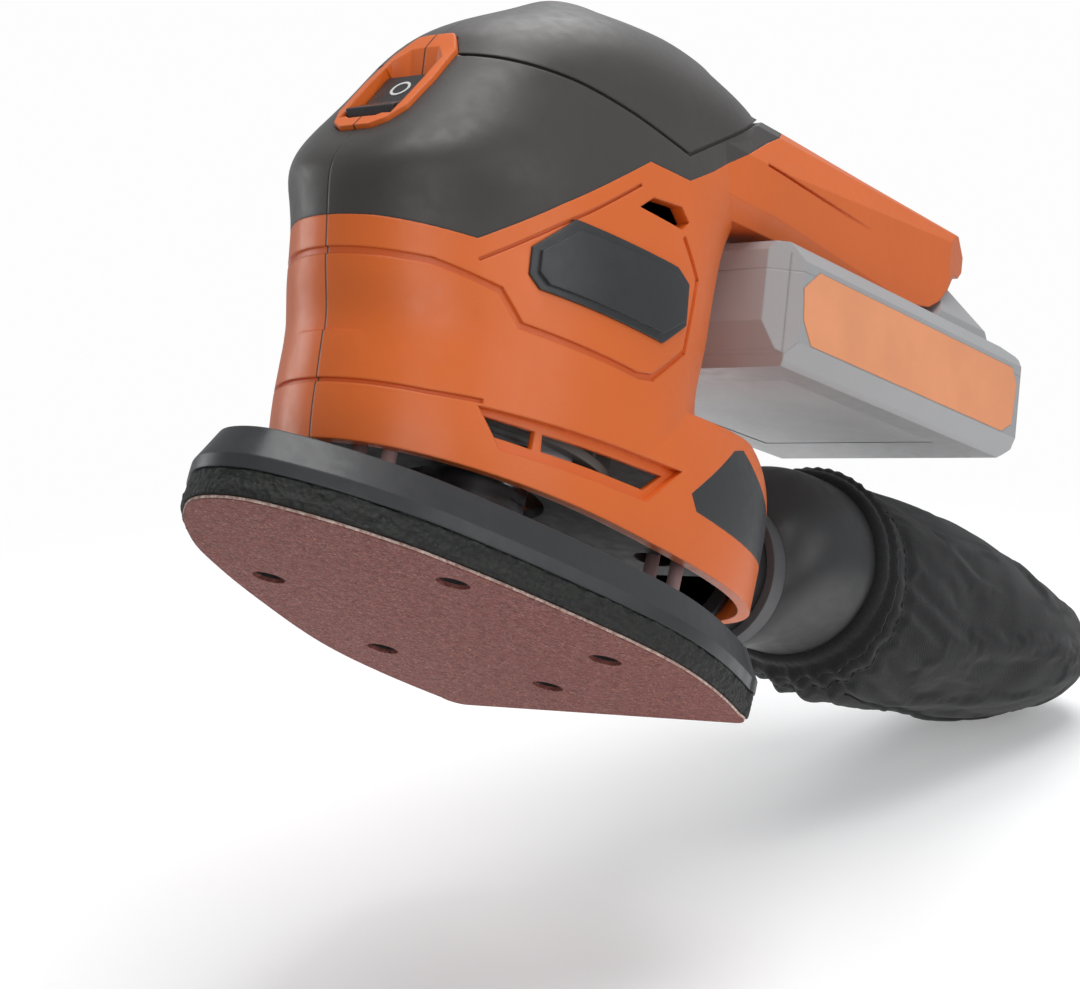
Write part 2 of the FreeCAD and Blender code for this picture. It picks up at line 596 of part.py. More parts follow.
def build_inside():
    skirt_room = lean(skin_loft(SKIRT, WALL, WALL))
    column_room = lean(skin_loft(COLUMN, WALL, WALL * 0.9))
    base = skirt_room.common(box(-200, 56, -80, 80, HUB_Z + 7.7, HUB_Z + 9.9))
    base = base.cut(rod(MOTOR_X, 0, 20, 40, 15.0))
    for x, y in LEG_PLACES:
        base = base.cut(rod(x, y, 20, 50, LEG_R + 2.6))
    save(biggest(base), "base_plate")
    upper = column_room.common(box(-200, 60, -80, 80, MOTOR_Z - 2.5, MOTOR_Z))
    upper = upper.cut(rod(MOTOR_X, 0, 20, 100, 9.0))
    for x, z in SCREW_PLACES:
        upper = upper.cut(lean(bar_y(-60, 60, x, z, 4.4)))
    for side in (-1, 1):
        upper = upper.cut(rod(MOTOR_X, side * 12.5, MOTOR_Z - 6, MOTOR_Z + 2, 1.5))
    save(biggest(upper), "motor_plate")
    screws = []
    for side in (-1, 1):
        screw = rod(MOTOR_X, side * 12.5, MOTOR_Z - 4.3, MOTOR_Z - 2.5, 2.6)
        screws.append(screw.fuse(rod(MOTOR_X, side * 12.5, MOTOR_Z - 2.5, MOTOR_Z + 1.6, 1.5)))
    save(group(screws), "motor_screws")


# ---------------------------------------------------------------- switch
def build_switch():
    frame = box(-12.2, 11.2, -8.2, 8.2, -22, -5.6)
    pocket = box(-9.3, 9.3, -6.6, 6.6, -16.0, 10)
    body = switch_place(frame.cut(pocket))
    save(lean(body), "switch_body")
    top = [(-9.5, 2.4), (-1.0, -1.5), (9.5, -1.2), (9.5, -7.6), (-9.5, -7.6)]
    rocker = side_prism(top, -ROCKER_HALF, ROCKER_HALF).common(
        bar_y(-20, 20, 0, ROCKER_N, ROCKER_R))
    rocker = rounded(rocker, 0.4, ALONG_Y)
    save(lean(switch_place(rocker)), "rocker")
    ring = Part.makeCylinder(2.3, 1.3, V(3.4, 0, -2.2), V(0, 0, 1)).cut(
        Part.makeCylinder(1.7, 3, V(3.4, 0, -2.9), V(0, 0, 1)))
    slab = side_prism([(-1.0, -1.5), (9.5, -1.2), (9.5, -1.08), (-1.0, -1.38)], -10, 10)
    save(lean(switch_place(ring.common(slab))), "off_mark")
    tabs = []
    for y in (-3.5, 3.5):
        tabs.append(box(-1.5, 1.5, y - 0.4, y + 0.4, -28, -22))
    save(lean(switch_place(group(tabs))), "switch_tabs")


# ---------------------------------------------------------------- battery
def build_battery():
    z0 = PACK_BOTTOM
    z1 = PACK_TOP
    w = PACK_HALF_W
    x0 = PACK_FRONT
    x1 = PACK_REAR
    profile = side_prism([(x0 + 2, z0 + 3), (x0 + 6, z0), (x1 - 6, z0), (x1 - 2.5, z0 + 4), (x1, z0 + 13),
                          (x1, z1 - 6), (x1 - 5, z1 - 1), (x1 - 12, z1), (x0 + 1, z1), (x0, z1 - 2),
                          (x0, z0 + 9)], -w, w)
    cross = end_prism([(-w + 6, z0 - 1), (-w + 3.5, z0 + 1), (-w, z0 + 5), (-w, z1 - 4), (-w + 4, z1 + 1),
                       (w - 4, z1 + 1), (w, z1 - 4), (w, z0 + 5), (w - 3.5, z0 + 1), (w - 6, z0 - 1)], x0 - 5, x1 + 5)
    plan = plan_prism([(x0, -w + 7), (x0 + 5, -w), (x1 - 6, -w), (x1, -w + 6), (x1, w - 6), (x1 - 6, w),
                       (x0 + 5, w), (x0, w - 7)], z0 - 5, z1 + 5)
    block = profile.common(cross).common(plan)
    block = rounded(block, 1.5, lambda e: e.Length > 3)
    cavity = box(x0 + 3, x1 - 3.5, -CELL_LEN / 2 - 0.6, CELL_LEN / 2 + 0.6, z0 + 2.4, z1 - 2.4)
    cavity = cavity.cut(box(x1 - 12, x1, -60, 60, z0, z0 + 6))
    shell = block.cut(cavity)
    seam_z = z0 + 20.6
    label_pts = [(x0 + 6, z0 + 10), (x0 + 10, z0 + 5.2), (x1 - 14, z0 + 5.2), (x1 - 9, z0 + 8),
                 (x1 - 8, z1 - 9), (x1 - 11, z1 - 5.2), (x0 + 11, z1 - 5.2), (x0 + 5, z1 - 10)]
    label = side_prism(label_pts, -w - 1, w + 1)
    label_in = label.common(box(0, 400, -w - 1, -w + 0.8, 0, 200).fuse(box(0, 400, w - 0.8, w + 1, 0, 200)))
    shell = shell.cut(label_in)
    labels = []
    for side in (-1, 1):
        face = side_prism(label_pts, side * (w - 0.8), side * (w + 0.15))
        labels.append(rounded(face, 1.6, ALONG_Y))
    save(lean(group(labels)), "battery_labels")
    sticker = box(x0 + 20, x1 - 26, -w + 12, w - 12, z0 - 0.01, z0 + 0.5)
    shell = shell.cut(sticker)
    sticker = box(x0 + 20.3, x1 - 26.3, -w + 12.3, w - 12.3, z0 + 0.1, z0 + 0.5)
    save(lean(sticker), "battery_sticker")
    lower = keep_below(shell, seam_z)
    upper = shell.cut(box(-400, 400, -200, 200, -200, seam_z))

    # rail block on top of the pack
    neck = box(x0 + 4, 150, -RAIL_NECK, RAIL_NECK, z1 - 0.5, z1 + 5.2)
    head = box(x0 + 4, 150, -RAIL_HEAD, RAIL_HEAD, z1 + 5.2, z1 + 12.4)
    head = rounded(head, 1.2, ALONG_Z)
    for y in (-12.0, -6.0, 6.0, 12.0):
        head = head.cut(box(x0, x0 + 18, y - 0.9, y + 0.9, z1 + 6.5, z1 + 13))
    rail = neck.fuse(head)
    hump = side_prism([(151.0, z1 - 1), (154.5, z1 + 4), (158.5, z1 + 8), (165, z1 + 14), (168, z1 + 14),
                       (179, z1 + 5), (184, z1 - 1)], -26, 26)
    hump = hump.common(end_prism([(-26, z1 - 2), (-26, z1 + 5), (-19, z1 + 15), (19, z1 + 15), (26, z1 + 5),
                                  (26, z1 - 2)], 140, 200))
    hump = rounded(hump, 1.2, lambda e: e.Length > 6)

    # spring loaded release button in the rear of the pack
    well = box(168.6, 179.4, -11.0, 11.0, z1 - 2.2, z1 + 30)
    upper = upper.fuse(hump)
    upper = upper.cut(well)
    upper = upper.cut(rail)
    save(lean(biggest(lower)), "battery_case_lower")
    save(lean(biggest(upper)), "battery_case_upper")
    save(lean(biggest(rail)), "battery_rail")
    button = side_prism([(168.9, z1 + 2.8), (168.9, z1 + 14.3), (170.2, z1 + 14.3), (179.1, z1 + 6.8),
                         (179.1, z1 + 2.8)], -10.7, 10.7)
    button = rounded(button, 0.6, ALONG_Y)
    for k in range(3):
        button = button.cut(bar_y(-8, 8, 172.0 + 2.2 * k, z1 + 13.0 - 1.85 * k, 0.6))
    stem = rod(174, 0, z1 + 1.0, z1 + 3, 1.8)
    save(lean(button.fuse(stem)), "release_button")
    helix = Part.makeHelix(1.1, 4.4, 3.0)
    helix.translate(V(174, 0, z1 - 1.9))
    circle = Part.Wire([Part.Circle(V(177, 0, z1 - 1.9), V(0, 1, 0), 0.25).toShape()])
    spring = Part.Wire(helix.Edges).makePipeShell([circle], True, True)
    save(lean(spring), "button_spring")

    cells = []
    for k in range(5):
        x = x0 + 4.2 + CELL_R + k * (2 * CELL_R + 1.1)
        cell = bar_y(-CELL_LEN / 2, CELL_LEN / 2 - 1, x, z0 + 2.6 + CELL_R, CELL_R)
        cells.append(cell.fuse(bar_y(CELL_LEN / 2 - 1, CELL_LEN / 2, x, z0 + 2.6 + CELL_R, 3.0)))
    save(lean(group(cells)), "battery_cells")
    clips = []
    for y in (-12.0, -6.0, 6.0, 12.0):
        clips.append(box(x0 + 14, x0 + 17.5, y - 0.85, y - 0.35, z1 + 6.7, z1 + 12))
        clips.append(box(x0 + 14, x0 + 17.5, y + 0.35, y + 0.85, z1 + 6.7, z1 + 12))
    save(lean(group(clips)), "battery_clips")

    # tool side terminal block and blades
    block = box(PACK_FRONT - 6.0, PACK_FRONT + 3.4, -17.5, 17.5, ARM_BOTTOM + 3.4, ARM_BOTTOM + 10.6)
    save(lean(block.cut(box(0, PACK_FRONT - 2.9, -60, 60, 0, 400))), "terminal_block")
    blades = []
    for y in (-12.0, -6.0, 6.0, 12.0):
        blades.append(box(PACK_FRONT + 3.4, PACK_FRONT + 13, y - 0.3, y + 0.3, z1 + 7.4, z1 + 11.6))
    save(lean(group(blades)), "terminal_blades")
    board = box(72, 117, -17, 17, ARM_BOTTOM + 13.5, ARM_BOTTOM + 15.1)
    chips = box(84, 96, -6, 6, ARM_BOTTOM + 15.1, ARM_BOTTOM + 17.6)
    caps = Part.makeCylinder(3.0, 2.6, V(108, 11, ARM_BOTTOM + 15.1), V(0, 0, 1))
    save(lean(board), "control_board")
    save(lean(group([chips, caps])), "board_parts")


# ---------------------------------------------------------------- dust collector
# station along the outlet axis, centre height, half width, half height
ADAPTER = [(108, SPOUT_Z, SPOUT_R + 2.2, SPOUT_R + 2.2), (111, SPOUT_Z + 2, BAG_R - 3.6, BAG_R - 4.4),
           (120, BAG_Z - 1.2, BAG_R - 0.8, BAG_R - 2.4), (130, BAG_Z, BAG_R, BAG_R - 2),
           (142, BAG_Z, BAG_R, BAG_R - 2)]
BAG_SHAPE = [(0.0, -0.6, 2.0, 0.4), (0.03, -2.6, 3.2, 2.6), (0.114, -3.5, 3.6, 3.8), (0.257, -3.0, 4.0, 4.0),
             (0.40, -2.7, 4.4, 4.2), (0.543, -2.9, 4.2, 2.6), (0.686, -3.6, 3.8, 0.2), (0.814, -4.0, 2.6, -3.6),
             (0.90, -4.2, -1.5, -8.0), (0.964, -4.4, -8.0, -13.5), (1.0, -4.6, -15.0, -19.0)]
BAG = [(BAG_START + f * BAG_LEN, BAG_Z + dz, BAG_R + dy, BAG_R + dr) for f, dz, dy, dr in BAG_SHAPE]


def circle_wire(x, z, ry, rz):
    points = []
    for k in range(24):
        a = 2 * math.pi * k / 24
        points.append(V(x, ry * math.sin(a), z + rz * math.cos(a)))
    curve = Part.BSplineCurve()
    curve.interpolate(points, PeriodicFlag=True)
    return Part.Wire([curve.toShape()])


def build_dust():
    spout = bar_x(88, 110, 0, SPOUT_Z, SPOUT_R).cut(bar_x(80, 130, 0, SPOUT_Z, SPOUT_R - 2.0))
    flange = bar_x(88, 90, 0, SPOUT_Z, SPOUT_R + 1.2).cut(bar_x(80, 130, 0, SPOUT_Z, SPOUT_R - 2.0))
    save(lean(spout.fuse(flange)), "exhaust_spout")
    r_in = SPOUT_R + SPOUT_FIT
    collar = bar_x(103, 108, 0, SPOUT_Z, SPOUT_R + 2.2).cut(bar_x(90, 130, 0, SPOUT_Z, r_in))
    save(lean(collar), "adapter_collar")
    outside = Part.makeLoft([circle_wire(x, z, ry, rz) for x, z, ry, rz in ADAPTER], True, False)
    inside = [circle_wire(107, SPOUT_Z, r_in, r_in)]
    inside += [circle_wire(x, z, ry - 2.4, rz - 2.4) for x, z, ry, rz in ADAPTER[2:-1]]
    x, z, ry, rz = ADAPTER[-1]
    inside.append(circle_wire(x + 1, z, ry - 2.4, rz - 2.4))
    hollow = Part.makeLoft(inside, True, False).fuse(bar_x(100, 112, 0, SPOUT_Z, r_in + 0.3))
    save(lean(biggest(outside.cut(hollow))), "dust_adapter")
    hem = Part.makeLoft([circle_wire(BAG_START - 6, BAG_Z, BAG_R + 0.6, BAG_R - 1.4),
                         circle_wire(BAG_START - 4, BAG_Z, BAG_R + 1.6, BAG_R - 0.4),
                         circle_wire(BAG_START, BAG_Z - 0.6, BAG_R + 2.0, BAG_R + 0.4)], True, False)
    save(lean(biggest(hem.cut(outside))), "bag_hem")
    bag = Part.makeLoft([circle_wire(x, z, ry, rz) for x, z, ry, rz in BAG], True, False)
    save(lean(bag), "dust_bag")


build_pad()
build_drive()
build_housing()
build_inside()
build_switch()
build_battery()
build_dust()
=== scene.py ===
import json
import math
import random

import bpy
from mathutils import Matrix, Vector
from mathutils.bvhtree import BVHTree
from mathutils import noise as mnoise


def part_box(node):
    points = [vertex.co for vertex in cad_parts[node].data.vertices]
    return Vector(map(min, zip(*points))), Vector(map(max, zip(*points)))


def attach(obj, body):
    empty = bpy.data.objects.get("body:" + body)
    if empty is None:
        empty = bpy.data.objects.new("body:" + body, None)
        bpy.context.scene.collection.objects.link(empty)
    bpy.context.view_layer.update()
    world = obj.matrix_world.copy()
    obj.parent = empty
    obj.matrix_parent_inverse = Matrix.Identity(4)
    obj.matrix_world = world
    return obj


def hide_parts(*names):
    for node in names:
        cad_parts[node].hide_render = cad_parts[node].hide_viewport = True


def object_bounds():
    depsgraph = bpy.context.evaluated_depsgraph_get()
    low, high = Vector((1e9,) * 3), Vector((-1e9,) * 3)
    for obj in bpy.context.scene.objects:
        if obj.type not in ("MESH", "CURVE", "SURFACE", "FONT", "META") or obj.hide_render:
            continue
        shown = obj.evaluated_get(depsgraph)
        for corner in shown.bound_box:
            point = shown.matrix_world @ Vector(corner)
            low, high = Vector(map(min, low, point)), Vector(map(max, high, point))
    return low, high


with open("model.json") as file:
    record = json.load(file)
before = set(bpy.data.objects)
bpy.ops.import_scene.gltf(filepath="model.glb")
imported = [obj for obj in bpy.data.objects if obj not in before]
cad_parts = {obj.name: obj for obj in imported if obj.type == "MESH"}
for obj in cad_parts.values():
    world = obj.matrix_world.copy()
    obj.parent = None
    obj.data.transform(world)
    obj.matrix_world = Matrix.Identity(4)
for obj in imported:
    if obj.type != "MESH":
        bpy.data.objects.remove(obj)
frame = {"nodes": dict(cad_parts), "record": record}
cad_lo, cad_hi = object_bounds()
RECORD = frame["record"]
NODES = frame["nodes"]
SCENE = bpy.context.scene
RNG = random.Random(11)

# ------------------------------------------------------------------ camera, at the photo's viewing angle
CAM_POS = Vector((-0.38317, -0.32947, -0.12261))
CAM_FORWARD = Vector((0.748, 0.597, 0.289)).normalized()
CAM_UP_HINT = Vector((-0.364, 0.005, 0.931))
CAM_RIGHT = CAM_FORWARD.cross(CAM_UP_HINT).normalized()
CAM_UP = CAM_RIGHT.cross(CAM_FORWARD).normalized()
CAM_BACK = -CAM_FORWARD

camera_data = bpy.data.cameras.new("photo_camera")
camera = bpy.data.objects.new("photo_camera", camera_data)
SCENE.collection.objects.link(camera)
camera_data.sensor_width = 36.0
camera_data.lens = 86.98
camera_data.clip_start = 0.01
camera_data.clip_end = 20.0
turn = Matrix((CAM_RIGHT, CAM_UP, CAM_BACK)).transposed()
camera.matrix_world = Matrix.Translation(CAM_POS) @ turn.to_4x4()
SCENE.camera = camera
SCENE.view_settings.view_transform = "Standard"
SCENE.view_settings.look = "None"

CENTRE = (cad_lo + cad_hi) / 2

# ------------------------------------------------------------------ sizes (metres) and counts
FLOOR_TILT = 0.22
FLOOR_GAP = 0.0015
FLOOR_HALF = 1.2
FLOOR_STEPS = 24
FLOOR_FADE_START = 0.10
FLOOR_FADE_END = 0.44
FLOOR_GLOW = 0.20

BAG_ROWS = 150
BAG_COLS = 168
BAG_SKIN = 0.0010
BAG_GATHERS = 52
BAG_GIRTH_SCALE = 0.027
# how far each ring of the turned-in mouth goes back and down
BAG_MOUTH_RINGS = ((0.0008, 0.0012), (0.0020, 0.0020))
# scale and push of each ring that closes the far end
BAG_END_RINGS = ((0.66, 0.0016), (0.33, 0.0024))
BAG_END_TIP = 0.0027
CLOTH_PRESSURE = 0.6
CLOTH_SWELL = 0.012
CLOTH_MOVE_CAP = 0.0014
CLOTH_FRAMES = 20

HEM_COLS = 288
# share of the hem's width from its front edge, and the lift there
HEM_PROFILE = ((0.00, 0.00005), (0.03, 0.0010), (0.14, 0.0017), (0.32, 0.0021), (0.52, 0.0019),
               (0.66, 0.0013), (0.78, 0.0016), (0.95, 0.0020), (1.10, 0.0016), (1.28, 0.0004),
               (1.45, -0.0008))
HEM_GATHER = 0.00007
SEAM_BACK = 0.0072
SEAM_STITCHES = 74
THREAD_RADIUS = 0.00022
PIPING_RADIUS = 0.00085
PIPING_POINTS = 90

FOAM_EDGE_STEP = 0.0006
FOAM_EDGE_ROWS = 13
FOAM_EDGE_DEPTH = 0.0010
PAPER_EDGE_STEP = 0.00035
PAPER_EDGE_HEIGHTS = (0.10, 0.32, 0.58, 0.86, 0.95)
OUTLINE_CENTRE = (0.012, 0.0)
OUTLINE_RAYS = 1440


# ------------------------------------------------------------------ lights and floor
def area_light(name, up, back, right, distance, size, power, colour=(1, 1, 1)):
    direction = (CAM_UP * up + CAM_BACK * back + CAM_RIGHT * right).normalized()
    data = bpy.data.lights.new(name, "AREA")
    data.shape = "SQUARE"
    data.size = size
    data.energy = power
    data.color = colour
    obj = bpy.data.objects.new(name, data)
    SCENE.collection.objects.link(obj)
    obj.location = CENTRE + direction * distance
    obj.rotation_mode = "QUATERNION"
    obj.rotation_quaternion = direction.to_track_quat("Z", "Y")
    return obj


area_light("key", 1.25, 0.42, 0.12, 0.95, 0.60, 5.0)
area_light("front", 0.05, 1.0, 0.25, 1.10, 0.60, 2.0)
area_light("right_fill", 0.35, 0.45, 0.95, 1.05, 0.60, 1.5)
area_light("top_rim", 1.0, -0.55, 0.10, 0.95, 0.50, 2.4)
area_light("left_rim", 0.25, -0.25, -1.0, 0.95, 0.45, 1.6)

world = bpy.data.worlds.new("studio")
SCENE.world = world
world.use_nodes = True
wn = world.node_tree
wn.nodes.clear()
w_out = wn.nodes.new("ShaderNodeOutputWorld")
w_mix = wn.nodes.new("ShaderNodeMixShader")
w_path = wn.nodes.new("ShaderNodeLightPath")
w_fill = wn.nodes.new("ShaderNodeBackground")
w_seen = wn.nodes.new("ShaderNodeBackground")
w_fill.inputs["Color"].default_value = (0.93, 0.96, 1.0, 1)
w_fill.inputs["Strength"].default_value = 0.36
w_seen.inputs["Color"].default_value = (0.985, 0.985, 0.985, 1)
w_seen.inputs["Strength"].default_value = 1.0
wn.links.new(w_path.outputs["Is Camera Ray"], w_mix.inputs[0])
wn.links.new(w_fill.outputs[0], w_mix.inputs[1])
wn.links.new(w_seen.outputs[0], w_mix.inputs[2])
wn.links.new(w_mix.outputs[0], w_out.inputs["Surface"])


# ------------------------------------------------------------------ node material helpers
class Mat:
    """Small helper round one node material."""

    def __init__(self, name):
        self.mat = bpy.data.materials.new(name)
        self.mat.use_nodes = True
        self.tree = self.mat.node_tree
        self.tree.nodes.clear()
        self.out = self.node("ShaderNodeOutputMaterial")
        self.bsdf = self.node("ShaderNodeBsdfPrincipled")
        self.link(self.bsdf.outputs[0], self.out.inputs[0])
        self.coords = self.node("ShaderNodeTexCoord")
        self.point = self.coords.outputs["Object"]

    def node(self, kind):
        return self.tree.nodes.new(kind)

    def link(self, a, b):
        self.tree.links.new(a, b)

    def put(self, socket, value):
        if hasattr(value, "links") or isinstance(value, bpy.types.NodeSocket):
            self.link(value, socket)
        else:
            socket.default_value = value

    def noise(self, scale, detail=2.0, rough=0.5, vector=None):
        n = self.node("ShaderNodeTexNoise")
        n.inputs["Scale"].default_value = scale
        n.inputs["Detail"].default_value = detail
        n.inputs["Roughness"].default_value = rough
        self.link(vector or self.point, n.inputs["Vector"])
        return n.outputs["Fac"]

    def voronoi(self, scale, feature="F1", out="Distance", vector=None):
        n = self.node("ShaderNodeTexVoronoi")
        n.feature = feature
        n.inputs["Scale"].default_value = scale
        self.link(vector or self.point, n.inputs["Vector"])
        return n.outputs[out]

    def math(self, op, a, b=0.0, c=None):
        n = self.node("ShaderNodeMath")
        n.operation = op
        self.put(n.inputs[0], a)
        self.put(n.inputs[1], b)
        if c is not None:
            self.put(n.inputs[2], c)
        return n.outputs[0]

    def remap(self, value, a0, a1, b0, b1):
        n = self.node("ShaderNodeMapRange")
        self.put(n.inputs["Value"], value)
        n.inputs["From Min"].default_value = a0
        n.inputs["From Max"].default_value = a1
        n.inputs["To Min"].default_value = b0
        n.inputs["To Max"].default_value = b1
        return n.outputs[0]

    def mix(self, fac, a, b):
        n = self.node("ShaderNodeMix")
        n.data_type = "RGBA"
        self.put(n.inputs[0], fac)
        self.put(n.inputs[6], a)
        self.put(n.inputs[7], b)
        return n.outputs[2]

    def split(self, vector):
        n = self.node("ShaderNodeSeparateXYZ")
        self.link(vector, n.inputs[0])
        return n.outputs

    def edges(self, radius):
        n = self.node("ShaderNodeBevel")
        n.samples = 4
        n.inputs["Radius"].default_value = radius
        return n.outputs[0]

    def bump(self, height, strength, distance, normal=None):
        n = self.node("ShaderNodeBump")
        n.inputs["Strength"].default_value = strength
        n.inputs["Distance"].default_value = distance
        self.put(n.inputs["Height"], height)
        if normal is not None:
            self.link(normal, n.inputs["Normal"])
        self.link(n.outputs[0], self.bsdf.inputs["Normal"])
        return n.outputs[0]

    def color(self, value):
        self.put(self.bsdf.inputs["Base Color"], value)

    def rough(self, value):
        self.put(self.bsdf.inputs["Roughness"], value)


def shade(colour, k):
    return (min(1, colour[0] * k), min(1, colour[1] * k), min(1, colour[2] * k), 1)


def moulded(name, colour, rough, grain=2600.0, depth=0.00004, spread=0.05, edge=0.0005, coat=0.0, seam=False,
            sheen=0.0, wear=0.06):
    """Injection moulded plastic: fine spark texture, slight cloudiness, polished edges."""
    m = Mat(name)
    cloud = m.noise(28.0, 3.0)
    fine = m.noise(grain, 2.0, 0.6)
    tint = m.mix(m.remap(cloud, 0.35, 0.65, 0.0, 1.0), shade(colour, 1 - spread), shade(colour, 1 + spread))
    specks = m.remap(m.voronoi(grain * 0.55), 0.05, 0.35, 1.0, 0.0)
    tint = m.mix(m.math("MULTIPLY", specks, 0.10), tint, shade(colour, 1.35))
    scuff = m.remap(m.noise(95.0, 6.0, 0.7), 0.58, 0.72, 0.0, wear)
    tint = m.mix(scuff, tint, shade((colour[0] + 0.06, colour[1] + 0.06, colour[2] + 0.06), 1.25))
    height = m.math("ADD", fine, m.math("MULTIPLY", m.noise(grain * 0.35), 0.8))
    if seam:
        side = m.math("ABSOLUTE", m.split(m.point)[1])
        line = m.remap(side, 0.00010, 0.00032, 1.0, 0.0)
        tint = m.mix(line, tint, shade(colour, 0.16))
        height = m.math("SUBTRACT", height, m.math("MULTIPLY", line, 4.0))
    m.color(tint)
    m.rough(m.remap(m.noise(320.0, 3.0), 0.3, 0.7, rough - 0.05, rough + 0.06))
    normal = m.edges(edge) if edge > 0 else None
    m.bump(height, 0.35, depth, normal)
    if coat > 0:
        m.bsdf.inputs["Coat Weight"].default_value = coat
        m.bsdf.inputs["Coat Roughness"].default_value = 0.22
    if sheen > 0:
        m.bsdf.inputs["Sheen Weight"].default_value = sheen
        m.bsdf.inputs["Sheen Roughness"].default_value = 0.4
    return m.mat


def metal(name, colour, rough, brushed=(60.0, 60.0, 1400.0)):
    """Turned or drawn metal with fine lines and faint stains."""
    m = Mat(name)
    mapping = m.node("ShaderNodeMapping")
    mapping.inputs["Scale"].default_value = brushed
    m.link(m.point, mapping.inputs["Vector"])
    lines = m.noise(1.0, 3.0, 0.6, mapping.outputs[0])
    stain = m.noise(120.0, 4.0)
    m.color(m.mix(m.remap(stain, 0.35, 0.7, 0.0, 1.0), shade(colour, 0.82), shade(colour, 1.08)))
    m.bsdf.inputs["Metallic"].default_value = 1.0
    m.rough(m.remap(lines, 0.3, 0.7, rough - 0.07, rough + 0.12))
    m.bump(lines, 0.25, 0.00004, m.edges(0.0003))
    return m.mat


def abrasive():
    """Coated abrasive: reddish grains in resin."""
    m = Mat("abrasive")
    cells = m.voronoi(2300.0, out="Color")
    value = m.node("ShaderNodeSeparateColor")
    m.link(cells, value.inputs[0])
    near = m.voronoi(2300.0)
    clump = m.noise(420.0, 3.0, 0.65)
    cloud = m.noise(40.0, 3.0)
    base = m.mix(m.remap(clump, 0.35, 0.65, 0.0, 1.0), (0.175, 0.046, 0.036, 1), (0.285, 0.084, 0.066, 1))
    base = m.mix(m.remap(value.outputs[0], 0.80, 0.98, 0.0, 0.62), base, (0.50, 0.24, 0.20, 1))
    base = m.mix(m.remap(value.outputs[1], 0.80, 0.98, 0.0, 0.75), base, (0.085, 0.025, 0.024, 1))
    base = m.mix(m.remap(cloud, 0.4, 0.62, 0.0, 0.30), base, (0.215, 0.062, 0.050, 1))
    m.color(base)
    m.rough(m.remap(value.outputs[2], 0.0, 1.0, 0.55, 0.92))
    height = m.math("SUBTRACT", m.math("MULTIPLY", value.outputs[0], 0.7), near)
    m.bump(m.math("ADD", height, m.math("MULTIPLY", clump, 1.2)), 0.8, 0.00016)
    return m.mat


def foam():
    """Dense foam cut with a blade: open cells and pulled ridges."""
    m = Mat("foam")
    cells = m.voronoi(900.0)
    big = m.voronoi(330.0)
    mapping = m.node("ShaderNodeMapping")
    mapping.inputs["Scale"].default_value = (260.0, 260.0, 900.0)
    m.link(m.point, mapping.inputs["Vector"])
    pull = m.noise(1.0, 4.0, 0.65, mapping.outputs[0])
    tint = m.mix(m.remap(pull, 0.4, 0.7, 0.0, 1.0), (0.0085, 0.0095, 0.008, 1), (0.032, 0.034, 0.029, 1))
    tint = m.mix(m.remap(cells, 0.0, 0.12, 0.6, 0.0), tint, (0.07, 0.07, 0.06, 1))
    m.color(tint)
    m.rough(m.remap(pull, 0.3, 0.7, 0.55, 0.85))
    m.bump(m.math("ADD", m.math("MULTIPLY", cells, 1.0), m.math("ADD", big, pull)), 0.9, 0.0005)
    return m.mat


def cloth_mat(name, colour, period, uv=True, strength=0.8):
    """Twill: diagonal ribs broken by the weft, a soft sheen, and lint."""
    m = Mat(name)
    source = m.coords.outputs["UV"] if uv else m.point
    u, v, _ = m.split(source)
    k = 2 * math.pi / period
    diag = m.math("SINE", m.math("MULTIPLY", m.math("ADD", u, v), k))
    weft = m.math("SINE", m.math("MULTIPLY", m.math("SUBTRACT", u, v), k * 1.9))
    thread = m.math("SINE", m.math("MULTIPLY", u, k * 2.7))
    weave = m.math("ADD", m.math("MULTIPLY", diag, 0.6), m.math("MULTIPLY", weft, 0.25))
    weave = m.math("ADD", weave, m.math("MULTIPLY", thread, 0.15))
    fuzz = m.noise(1800.0, 3.0, 0.7)
    cloud = m.noise(30.0, 3.0)
    tint = m.mix(m.remap(weave, -0.8, 0.8, 0.0, 1.0), shade(colour, 0.72), shade(colour, 1.35))
    tint = m.mix(m.remap(cloud, 0.35, 0.65, 0.0, 0.4), tint, shade(colour, 1.25))
    lint = m.remap(m.voronoi(700.0), 0.0, 0.03, 0.3, 0.0)
    tint = m.mix(lint, tint, shade((0.06, 0.06, 0.06), 1.0))
    m.color(tint)
    m.rough(m.remap(fuzz, 0.3, 0.7, 0.72, 0.95))
    m.bsdf.inputs["Sheen Weight"].default_value = 0.16
    m.bsdf.inputs["Sheen Roughness"].default_value = 0.45
    m.bsdf.inputs["Specular IOR Level"].default_value = 0.25
    m.bump(m.math("ADD", weave, m.math("MULTIPLY", fuzz, 0.8)), strength, 0.00010)
    return m.mat


def printed(name, colour, rough):
    """Smooth label film with a faint dot print."""
    m = Mat(name)
    dots = m.voronoi(2600.0)
    cloud = m.noise(60.0, 3.0)
    tint = m.mix(m.remap(cloud, 0.35, 0.65, 0.0, 1.0), shade(colour, 0.96), shade(colour, 1.05))
    tint = m.mix(m.remap(dots, 0.0, 0.2, 0.12, 0.0), tint, shade(colour, 1.25))
    m.color(tint)
    m.rough(m.remap(m.noise(500.0, 3.0), 0.3, 0.7, rough - 0.04, rough + 0.06))
    m.bump(m.noise(900.0, 3.0), 0.15, 0.00003, m.edges(0.0003))
    return m.mat


